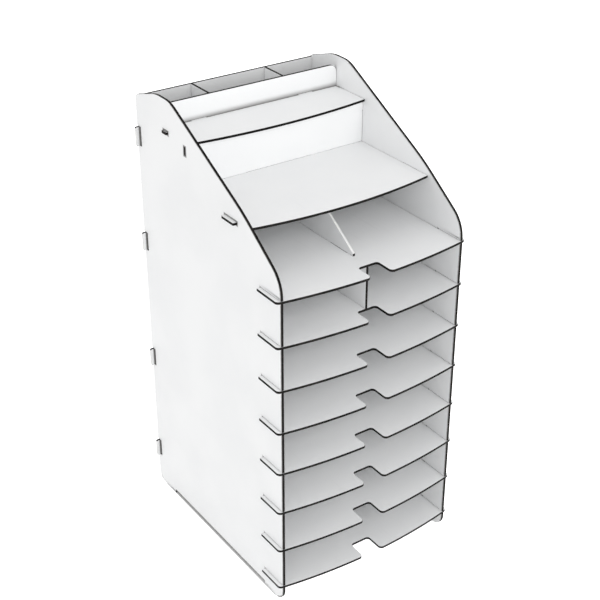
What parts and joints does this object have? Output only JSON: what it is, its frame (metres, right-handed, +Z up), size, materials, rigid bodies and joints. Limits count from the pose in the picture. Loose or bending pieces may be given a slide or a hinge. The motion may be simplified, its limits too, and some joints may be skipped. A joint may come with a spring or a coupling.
{
  "type": "desktop document rack",
  "caption": "Tall desktop rack of flat white boards: open paper trays with bowed fronts and finger notches, a display shelf, a step shelf and a pen box behind sloping sides.",
  "frame": {"origin": "on the floor, under the middle of the rack's bounding box", "axes": "+X to the right as seen from the front, +Y from the open front to the back panel, +Z up"},
  "size_m": [0.26, 0.3134, 0.5697],
  "materials": {
    "white_board": "satin white laminate with nearly black heat-cut edges"
  },
  "bodies": {
    "rack": {"side_panel_left": "white_board", "side_panel_right": "white_board", "back_panel": "white_board", "shelf_1": "white_board", "shelf_2": "white_board", "display_shelf": "white_board", "step_shelf": "white_board", "riser_plate": "white_board", "pen_box_front": "white_board", "pen_divider_left": "white_board", "pen_divider_right": "white_board", "upper_tier_divider": "white_board", "lower_tier_divider": "white_board"},
    "shelf_3": {"shelf_3": "white_board"},
    "shelf_4": {"shelf_4": "white_board"},
    "shelf_5": {"shelf_5": "white_board"},
    "shelf_6": {"shelf_6": "white_board"},
    "shelf_7": {"shelf_7": "white_board"},
    "shelf_8": {"shelf_8": "white_board"}
  },
  "joints": [
    {"name": "shelf_3_slide", "type": "slide", "parent": "rack", "child": "shelf_3", "axis": [0, -1, 0], "range_m": [0, 0.035]},
    {"name": "shelf_4_slide", "type": "slide", "parent": "rack", "child": "shelf_4", "axis": [0, -1, 0], "range_m": [0, 0.035]},
    {"name": "shelf_5_slide", "type": "slide", "parent": "rack", "child": "shelf_5", "axis": [0, -1, 0], "range_m": [0, 0.035]},
    {"name": "shelf_6_slide", "type": "slide", "parent": "rack", "child": "shelf_6", "axis": [0, -1, 0], "range_m": [0, 0.035]},
    {"name": "shelf_7_slide", "type": "slide", "parent": "rack", "child": "shelf_7", "axis": [0, -1, 0], "range_m": [0, 0.035]},
    {"name": "shelf_8_slide", "type": "slide", "parent": "rack", "child": "shelf_8", "axis": [0, -1, 0], "range_m": [0, 0.035]}
  ]
}
